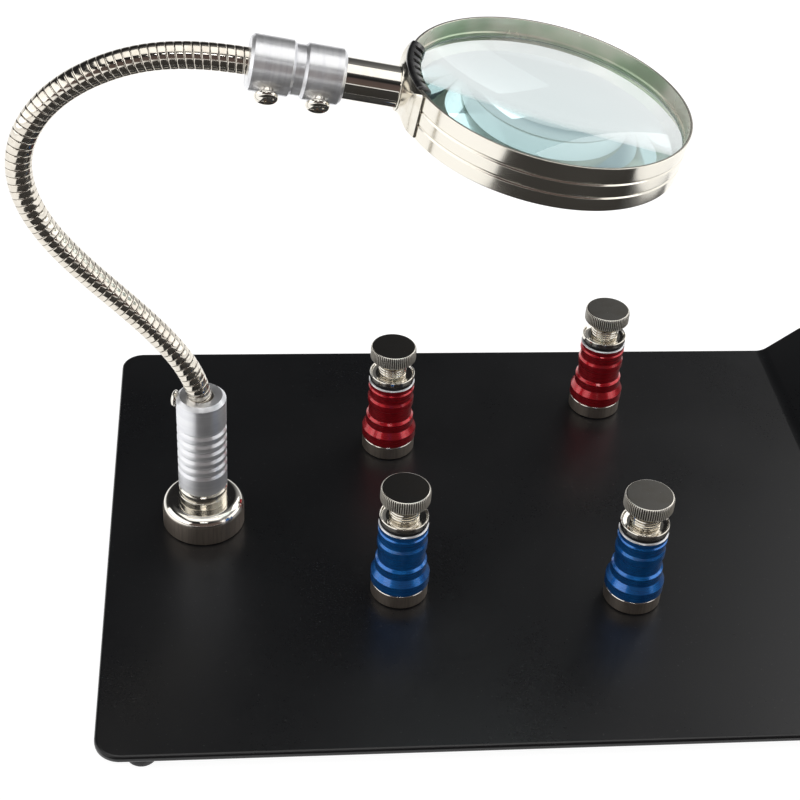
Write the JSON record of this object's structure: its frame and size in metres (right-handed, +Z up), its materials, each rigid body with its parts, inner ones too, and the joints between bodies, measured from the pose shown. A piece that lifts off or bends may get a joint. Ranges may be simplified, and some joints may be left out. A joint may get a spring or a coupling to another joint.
{
  "type": "helping hands magnifier",
  "caption": "Steel work plate with magnetic screw-clamp pillars for circuit boards and a round magnifier on a magnetic gooseneck stand.",
  "frame": {"origin": "centre of the bounding box in plan, on the surface that the feet stand on", "axes": "+X from the magnifier stand along the plate to its raised end, +Y to the rear, +Z up"},
  "size_m": [0.2676, 0.15, 0.1394],
  "materials": {
    "black_powder_coat": "fine satin powder coat",
    "black_rubber": "matt moulded rubber",
    "magnet": "ground grey magnet",
    "turned_aluminium": "turned, satin",
    "red_anodised": "turned, bright red anodised",
    "blue_anodised": "turned, bright blue anodised",
    "lens_glass": "clear polished, faint green at the edge",
    "black_plastic": "gloss black moulding",
    "gooseneck_nickel": "wound wire, nickel plated",
    "zinc_steel": "plated thread",
    "satin_nickel": "nickel plate with a soft sheen",
    "bright_nickel": "bright nickel plate"
  },
  "bodies": {
    "base": {"base_plate": "black_powder_coat", "foot_front_left": "black_rubber", "foot_front_right": "black_rubber", "foot_rear_left": "black_rubber", "foot_rear_right": "black_rubber"},
    "stand": {"stand_magnet_pot": "bright_nickel", "stand_magnet": "magnet", "stand_boss": "satin_nickel", "stand_column": "turned_aluminium", "column_clamp_screw": "bright_nickel"},
    "neck_link_01": {"gooseneck_link_01": "gooseneck_nickel"},
    "neck_link_02": {"gooseneck_link_02": "gooseneck_nickel"},
    "neck_link_03": {"gooseneck_link_03": "gooseneck_nickel"},
    "neck_link_04": {"gooseneck_link_04": "gooseneck_nickel"},
    "neck_link_05": {"gooseneck_link_05": "gooseneck_nickel"},
    "neck_link_06": {"gooseneck_link_06": "gooseneck_nickel"},
    "neck_link_07": {"gooseneck_link_07": "gooseneck_nickel"},
    "neck_link_08": {"gooseneck_link_08": "gooseneck_nickel"},
    "neck_link_09": {"gooseneck_link_09": "gooseneck_nickel"},
    "neck_link_10": {"gooseneck_link_10": "gooseneck_nickel"},
    "coupler": {"gooseneck_link_11": "gooseneck_nickel", "coupler": "turned_aluminium", "coupler_neck_screw": "bright_nickel", "coupler_handle_screw": "bright_nickel"},
    "magnifier": {"handle_tube": "bright_nickel", "ring_saddle": "satin_nickel", "lens_ring": "satin_nickel", "lens": "lens_glass", "ring_insert": "black_plastic"},
    "rear_left_pillar": {"rear_left_magnet_pot": "bright_nickel", "rear_left_magnet": "magnet", "rear_left_magnet_stud": "zinc_steel", "rear_left_pillar": "red_anodised", "rear_left_rubber_washer": "black_rubber"},
    "rear_left_dish": {"rear_left_clamp_dish": "bright_nickel"},
    "rear_left_screw": {"rear_left_thumb_screw": "bright_nickel"},
    "rear_right_pillar": {"rear_right_magnet_pot": "bright_nickel", "rear_right_magnet": "magnet", "rear_right_magnet_stud": "zinc_steel", "rear_right_pillar": "red_anodised", "rear_right_rubber_washer": "black_rubber"},
    "rear_right_dish": {"rear_right_clamp_dish": "bright_nickel"},
    "rear_right_screw": {"rear_right_thumb_screw": "bright_nickel"},
    "front_left_pillar": {"front_left_magnet_pot": "bright_nickel", "front_left_magnet": "magnet", "front_left_magnet_stud": "zinc_steel", "front_left_pillar": "blue_anodised", "front_left_rubber_washer": "black_rubber"},
    "front_left_dish": {"front_left_clamp_dish": "bright_nickel"},
    "front_left_screw": {"front_left_thumb_screw": "bright_nickel"},
    "front_right_pillar": {"front_right_magnet_pot": "bright_nickel", "front_right_magnet": "magnet", "front_right_magnet_stud": "zinc_steel", "front_right_pillar": "blue_anodised", "front_right_rubber_washer": "black_rubber"},
    "front_right_dish": {"front_right_clamp_dish": "bright_nickel"},
    "front_right_screw": {"front_right_thumb_screw": "bright_nickel"}
  },
  "joints": [
    {"name": "stand_slide", "type": "slide", "parent": "base", "child": "stand", "axis": [0, 1, 0], "range_m": [-0.06, 0.06]},
    {"name": "neck_swivel", "type": "hinge", "parent": "stand", "child": "neck_link_01", "pos_m": [-0.0925, 0.0027, 0.0455], "axis": [0, 0, 1], "continuous": true},
    {"name": "neck_bend_01", "type": "hinge", "parent": "neck_link_01", "child": "neck_link_02", "pos_m": [-0.09482, 0.0027, 0.05196], "axis": [0, 1, 0], "range_deg": [-30, 30]},
    {"name": "neck_turn_02", "type": "hinge", "parent": "neck_link_02", "child": "neck_link_03", "pos_m": [-0.10207, 0.0027, 0.06363], "axis": [0.7771, 0, 0.6293], "range_deg": [-30, 30]},
    {"name": "neck_bend_03", "type": "hinge", "parent": "neck_link_03", "child": "neck_link_04", "pos_m": [-0.11116, 0.0027, 0.074], "axis": [0, -1, 0], "range_deg": [-30, 30]},
    {"name": "neck_turn_04", "type": "hinge", "parent": "neck_link_04", "child": "neck_link_05", "pos_m": [-0.12035, 0.0027, 0.08429], "axis": [-0.7771, 0, -0.6293], "range_deg": [-30, 30]},
    {"name": "neck_bend_05", "type": "hinge", "parent": "neck_link_05", "child": "neck_link_06", "pos_m": [-0.12787, 0.0027, 0.0958], "axis": [0, 1, 0], "range_deg": [-30, 30]},
    {"name": "neck_turn_06", "type": "hinge", "parent": "neck_link_06", "child": "neck_link_07", "pos_m": [-0.13048, 0.0027, 0.10897], "axis": [0.9925, 0, -0.1219], "range_deg": [-30, 30]},
    {"name": "neck_bend_07", "type": "hinge", "parent": "neck_link_07", "child": "neck_link_08", "pos_m": [-0.12531, 0.0027, 0.12133], "axis": [0, -1, 0], "range_deg": [-30, 30]},
    {"name": "neck_turn_08", "type": "hinge", "parent": "neck_link_08", "child": "neck_link_09", "pos_m": [-0.11464, 0.0027, 0.12984], "axis": [-0.454, 0, 0.891], "range_deg": [-30, 30]},
    {"name": "neck_bend_09", "type": "hinge", "parent": "neck_link_09", "child": "neck_link_10", "pos_m": [-0.10166, 0.0027, 0.13417], "axis": [0, 1, 0], "range_deg": [-30, 30]},
    {"name": "neck_turn_10", "type": "hinge", "parent": "neck_link_10", "child": "coupler", "pos_m": [-0.08794, 0.0027, 0.13447], "axis": [-0.1219, 0, -0.9925], "range_deg": [-30, 30]},
    {"name": "handle_swivel", "type": "hinge", "parent": "coupler", "child": "magnifier", "pos_m": [-0.06101, 0.0027, 0.13002], "axis": [0.9848, 0, -0.1736], "continuous": true},
    {"name": "rear_left_slide", "type": "slide", "parent": "base", "child": "rear_left_pillar", "axis": [0, 1, 0], "range_m": [-0.04, 0.033]},
    {"name": "rear_left_clamp", "type": "slide", "parent": "rear_left_pillar", "child": "rear_left_dish", "axis": [0, 0, 1], "range_m": [0, 0.0042]},
    {"name": "rear_left_thumb_turn", "type": "hinge", "parent": "rear_left_dish", "child": "rear_left_screw", "pos_m": [-0.04276, 0.0322, 0.03465], "axis": [0, 0, 1], "range_deg": [0, 2160]},
    {"name": "rear_right_slide", "type": "slide", "parent": "base", "child": "rear_right_pillar", "axis": [0, 1, 0], "range_m": [-0.06, 0.016]},
    {"name": "rear_right_clamp", "type": "slide", "parent": "rear_right_pillar", "child": "rear_right_dish", "axis": [0, 0, 1], "range_m": [0, 0.0042]},
    {"name": "rear_right_thumb_turn", "type": "hinge", "parent": "rear_right_dish", "child": "rear_right_screw", "pos_m": [0.01754, 0.049, 0.03465], "axis": [0, 0, 1], "range_deg": [0, 2160]},
    {"name": "front_left_slide", "type": "slide", "parent": "base", "child": "front_left_pillar", "axis": [1, 0, 0], "range_m": [-0.06, 0.04]},
    {"name": "front_left_clamp", "type": "slide", "parent": "front_left_pillar", "child": "front_left_dish", "axis": [0, 0, 1], "range_m": [0, 0.0042]},
    {"name": "front_left_thumb_turn", "type": "hinge", "parent": "front_left_dish", "child": "front_left_screw", "pos_m": [-0.04466, -0.0246, 0.03465], "axis": [0, 0, 1], "range_deg": [0, 2160]},
    {"name": "front_right_slide", "type": "slide", "parent": "base", "child": "front_right_pillar", "axis": [1, 0, 0], "range_m": [-0.036, 0.048]},
    {"name": "front_right_clamp", "type": "slide", "parent": "front_right_pillar", "child": "front_right_dish", "axis": [0, 0, 1], "range_m": [0, 0.0042]},
    {"name": "front_right_thumb_turn", "type": "hinge", "parent": "front_right_dish", "child": "front_right_screw", "pos_m": [0.01294, -0.0285, 0.03465], "axis": [0, 0, 1], "range_deg": [0, 2160]}
  ],
  "couplings": [
    {"joint": "rear_left_thumb_turn", "follows": "rear_left_clamp", "rad_per_m": 8976},
    {"joint": "rear_right_thumb_turn", "follows": "rear_right_clamp", "rad_per_m": 8976},
    {"joint": "front_left_thumb_turn", "follows": "front_left_clamp", "rad_per_m": 8976},
    {"joint": "front_right_thumb_turn", "follows": "front_right_clamp", "rad_per_m": 8976}
  ]
}
